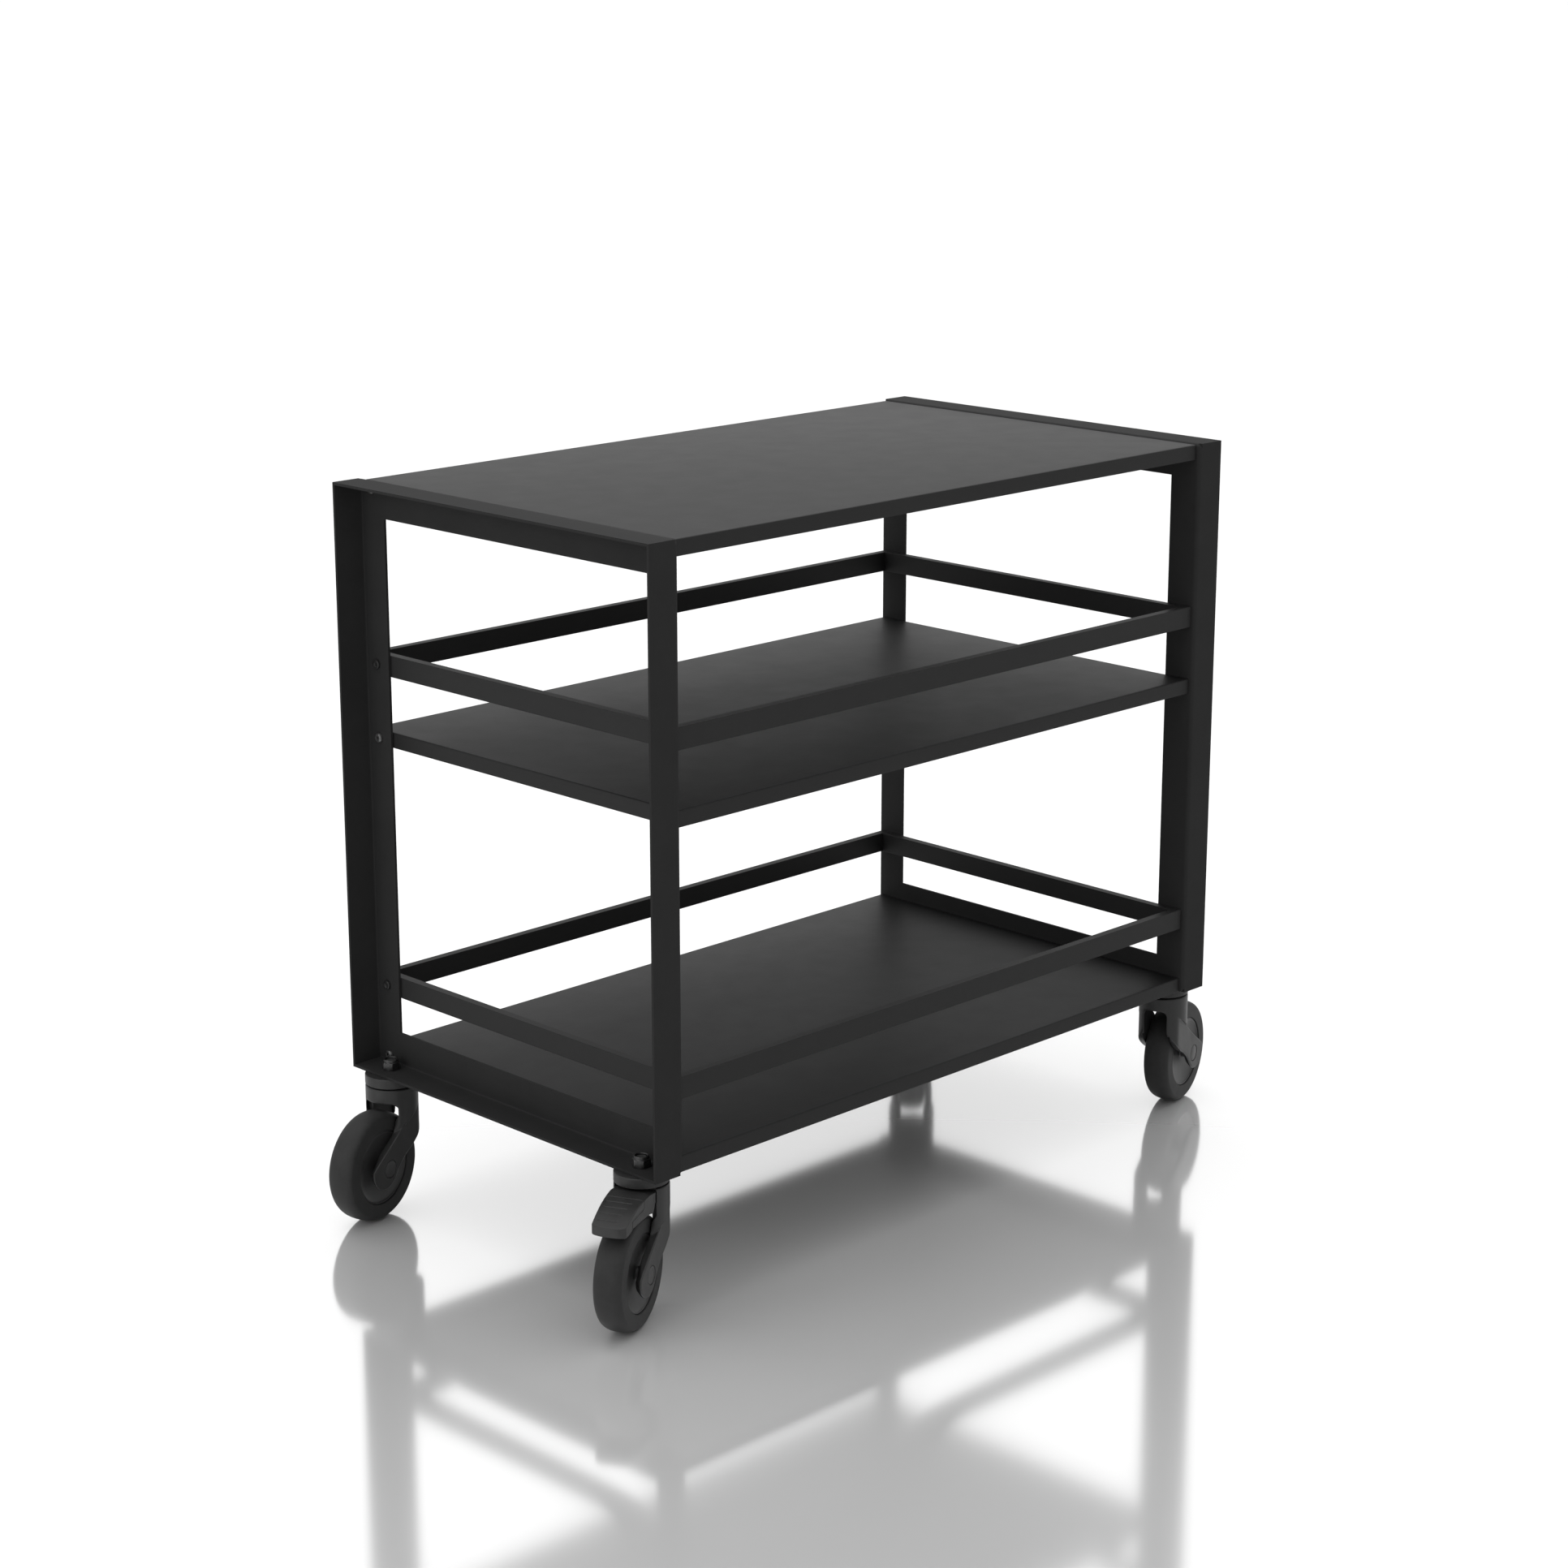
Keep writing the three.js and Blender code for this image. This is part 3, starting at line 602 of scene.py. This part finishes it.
# ---------------------------------------------------------------- the caster's turned pieces
def cap_profile():
    r, edge, bore, top = HOUSING_RADIUS, 24.9, 6.4, -0.3
    line = [(bore, CAP_FOOT - 1.0), (edge, CAP_FOOT - 1.0), (edge, CAP_FOOT), (r - 0.5, CAP_FOOT)]
    line += [(r, CAP_FOOT + 0.5), (r, -1.9)]
    line += bezier(line[-1], (r, -0.8), (r - 0.5, top), (r - 1.6, top), 5)
    return line + [(bore, top), (bore, CAP_FOOT - 1.0)]


def stem_profile(low, tip):
    """A round head in the housing, and a thread of fine rings from under the flange to the tip."""
    thread_start = 2.0
    line = [(0, low), (STEM_HEAD - 0.8, low), (STEM_HEAD, low + 0.8), (STEM_HEAD, low + 5)]
    line += [(STEM_RADIUS, low + 5), (STEM_RADIUS, thread_start)]
    z = thread_start
    while z + THREAD_PITCH < tip - 0.8:
        line += [(STEM_RADIUS - 0.75, z + THREAD_PITCH * 0.5)]
        line += [(STEM_RADIUS, z + THREAD_PITCH * 0.95), (STEM_RADIUS, z + THREAD_PITCH)]
        z += THREAD_PITCH
    return line + [(STEM_RADIUS, tip - 0.8), (STEM_RADIUS - 0.8, tip), (0, tip)]


def nut_profile(foot, top):
    """A hexagon with chamfered ends under a round locking collar."""
    body = hexagon(NUT_FLATS, 10.39)
    line = [(NUT_BORE, foot), (hexagon(NUT_FLATS, 9.4), foot), (body, foot + 1.1)]
    line += [(body, foot + 7.6), (hexagon(NUT_FLATS, 9.5), foot + 8.7), (8.6, foot + 9.0)]
    line += [(8.2, foot + 9.2), (8.2, top - 1.2), (7.9, top - 0.4), (7.2, top), (6.7, top - 0.2)]
    return line + [(NUT_BORE, top - 0.8), (NUT_BORE, foot)]


def tyre_profile():
    inner, steps = HUB_RADIUS + 0.25, 28
    line = [(inner, -TYRE_HALF + 0.7), (inner + 0.7, -TYRE_HALF)]
    for i in range(steps + 1):
        across = -math.cos(i / steps * math.pi)
        crown = (1 - abs(across) ** 2.5) ** 0.5
        line.append((TYRE_SIDE + (WHEEL_RADIUS - TYRE_SIDE) * crown, across * TYRE_HALF))
    line += [(inner + 0.7, TYRE_HALF), (inner, TYRE_HALF - 0.7), (inner, -TYRE_HALF + 0.7)]
    return line


def hub_profile():
    """A rim, a shallow dish and a boss, the same on both sides."""
    bore, rim = AXLE_RADIUS + 0.06, TYRE_HALF - 1.4
    side = [(HUB_RADIUS, rim - 0.6), (HUB_RADIUS - 0.6, rim)]
    side += [(HUB_RADIUS - 1.9, rim), (HUB_RADIUS - 2.6, rim - 0.8)]
    side += bezier(side[-1], (36, 12.2), (28, 10.2), (9, 10.0), 16)
    side += bezier(side[-1], (7.4, 10.0), (7.0, 10.6), (6.8, HUB_HALF - 0.1), 5)
    side += [(bore, HUB_HALF)]
    mirrored = [(r, -y) for r, y in side][::-1]
    return mirrored + side + [(bore, -HUB_HALF)]


def axle_profile():
    end, shoulder = LEG - 0.2, LEG - 2.3
    half = [(0, end), (AXLE_HEAD - 1.0, end), (AXLE_HEAD - 0.2, end - 0.3), (AXLE_HEAD, end - 1.0)]
    half += [(AXLE_HEAD, shoulder), (AXLE_RADIUS, shoulder)]
    return [(r, -y) for r, y in half] + half[::-1]


# ---------------------------------------------------------------- one caster
def placed(source, name, place):
    """A copy of a finished mesh moved to its place."""
    mesh = source.data.copy()
    mesh.transform(place)
    return add_object(name, mesh)


def heights(node):
    """A node's lowest and highest point, from the frame's foot in millimetres."""
    low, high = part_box(node)
    return low.z / MM - FOOT, high.z / MM - FOOT


def add_caster(name, fork, pedal):
    """A caster at its stem, turned the way its wheel's axis says, with a pedal where it has one."""
    stem = Vector(JOINTS[f"swivel_{name}"]["pos_m"])
    v = Vector(JOINTS[f"roll_{name}"]["axis"])
    still = Matrix.Translation((stem.x, stem.y, FOOT * MM))
    turned = still @ Matrix.Rotation(math.atan2(-v.x, v.y), 4, "Z")
    hub_centre = Matrix.Translation(Vector((TRAIL, 0, -AXLE_DROP)) * MM)
    wheel = turned @ hub_centre @ Matrix.Rotation(-math.pi / 2, 4, "X")

    def add(kind, node, slot, profile, sides, place, smooth_angle=35.0):
        piece = ring_mesh(f"look_{kind}_{name}", profile, sides, place, smooth_angle)
        settle(piece, f"{node}_{name}", slot)

    add("cap", "caster_cap", "caster_housing", cap_profile(), 128, still)
    stem_line = stem_profile(*heights(f"caster_stem_{name}"))
    add("stem", "caster_stem", "caster_steel", stem_line, 64, still)
    nut_line = nut_profile(FLANGE_TOP + GAP, heights(f"caster_nut_{name}")[1])
    add("nut", "caster_nut", "lock_nut", nut_line, 72, still, 25.0)
    settle(placed(fork, f"look_fork_{name}", turned), f"caster_fork_{name}", "caster_housing")
    add("hub", "wheel_hub", "wheel_hub", hub_profile(), 128, wheel)
    add("tyre", "tyre", "tyre", tyre_profile(), 160, wheel)
    add("axle", "axle", "axle_cap", axle_profile(), 64, wheel)
    if pedal:
        pedal.data.transform(turned)
        settle(pedal, f"brake_pedal_{name}", "caster_housing")


def add_casters():
    fork_box = ((-33, -31, -124), (72, 31, -10))
    plain_fork = field_mesh("fork_plain", fork_field(False), *fork_box, 0.65, 0.25)
    brake_fork = field_mesh("fork_brake", fork_field(True), *fork_box, 0.65, 0.25)
    pedal = field_mesh("look_brake_pedal", pedal_field(), (8, -25, -44), (96, 25, -10), 0.45, 0.5)
    for name in CASTERS:
        if name == BRAKED:
            add_caster(name, brake_fork, pedal)
        else:
            add_caster(name, plain_fork, None)
    for spare in (plain_fork, brake_fork):
        bpy.data.objects.remove(spare)


# ---------------------------------------------------------------- floor, light and camera
def add_floor():
    half = 60.0
    mesh = bpy.data.meshes.new("floor")
    corners = [(-half, -half, 0), (half, -half, 0), (half, half, 0), (-half, half, 0)]
    mesh.from_pydata(corners, [], [(0, 1, 2, 3)])
    floor = add_object("floor", mesh)
    material, tree, shader, coord = nodes_of("floor")
    tree.links.new(shades(tree, noise(tree, coord, 0.8), 0.94, 0.96), shader.inputs["Base Color"])
    shader.inputs["Roughness"].default_value = 0.1
    shader.inputs["Metallic"].default_value = 0.7
    mesh.materials.append(material)


def add_area(name, place, target, size, watts):
    light = bpy.data.lights.new(name, "AREA")
    light.shape = "RECTANGLE"
    light.size, light.size_y = size
    light.energy = watts
    lamp = add_object(name, light)
    lamp.location = place
    lamp.rotation_mode = "QUATERNION"
    lamp.rotation_quaternion = (Vector(target) - Vector(place)).to_track_quat("-Z", "Y")


def add_world():
    """A white studio: brighter overhead and low down, dimmer in between."""
    stops = ((0.0, 0.44), (0.3, 0.43), (0.5, 0.38), (0.7, 0.6), (0.95, 1.0))
    world = bpy.data.worlds.new("studio")
    world.use_nodes = True
    tree = world.node_tree
    coord = tree.nodes.new("ShaderNodeTexCoord")
    split = tree.nodes.new("ShaderNodeSeparateXYZ")
    ramp = tree.nodes.new("ShaderNodeValToRGB")
    tree.links.new(coord.outputs["Generated"], split.inputs["Vector"])
    tree.links.new(split.outputs["Z"], ramp.inputs["Fac"])
    tree.links.new(ramp.outputs["Color"], tree.nodes["Background"].inputs["Color"])
    while len(ramp.color_ramp.elements) < len(stops):
        ramp.color_ramp.elements.new(0.5)
    for element, (at, level) in zip(ramp.color_ramp.elements, stops):
        element.position = at
        element.color = (level, level, level, 1.0)
    tree.nodes["Background"].inputs["Strength"].default_value = 2.3
    bpy.context.scene.world = world


def add_camera():
    """A long lens at the near corner, from a little above, placed from the left frame's foot."""
    azimuth, elevation = math.radians(44.98), math.radians(15.04)
    from_frame = Vector((-2.1101, -2.2970, 1.2611))
    camera = bpy.data.cameras.new("camera")
    camera.sensor_fit = "HORIZONTAL"
    camera.sensor_width = 36.0
    camera.lens = 75.07
    camera.clip_start, camera.clip_end = 0.05, 200.0
    forward = Vector((
        math.sin(azimuth) * math.cos(elevation),
        math.cos(azimuth) * math.cos(elevation),
        -math.sin(elevation)))
    right = Vector((math.cos(azimuth), -math.sin(azimuth), 0))
    place = Matrix((right, right.cross(forward), -forward)).transposed().to_4x4()
    place.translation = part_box("end_frame_left")[0] + from_frame
    holder = add_object("camera", camera)
    holder.matrix_world = place
    bpy.context.scene.camera = holder


# ---------------------------------------------------------------- the cart
for side in ("left", "right"):
    softened(f"end_frame_{side}", "frame_coat", 0.4, 35.0)
for deck in ("tabletop", "middle_deck", "bottom_deck"):
    softened(deck, "deck_coat", 0.35, 50.0)
for rail in ("upper_rail", "lower_rail"):
    softened(rail, "rail_coat", 0.6, 50.0)

for end in ("left", "right"):
    for side in ("front", "back"):
        for deck in ("tabletop", "middle_deck", "bottom_deck"):
            add_screw(f"screw_{deck}_{side}_{end}", 5.6, 3.4, True, "button_screw")
        for rail in ("upper_rail", "lower_rail"):
            add_screw(f"screw_{rail}_{side}_{end}", 5.3, 2.4, False, "socket_screw")

add_casters()

add_floor()
add_world()
add_area("overhead", (0.3, 0.6, 3.6), (0, 0, 0.5), (3.5, 3.0), 50)
add_area("left", (-3.4, 0.3, 1.5), (0, 0, 0.5), (2.5, 1.6), 30)
add_camera()
bpy.context.scene.view_settings.view_transform = "Standard"
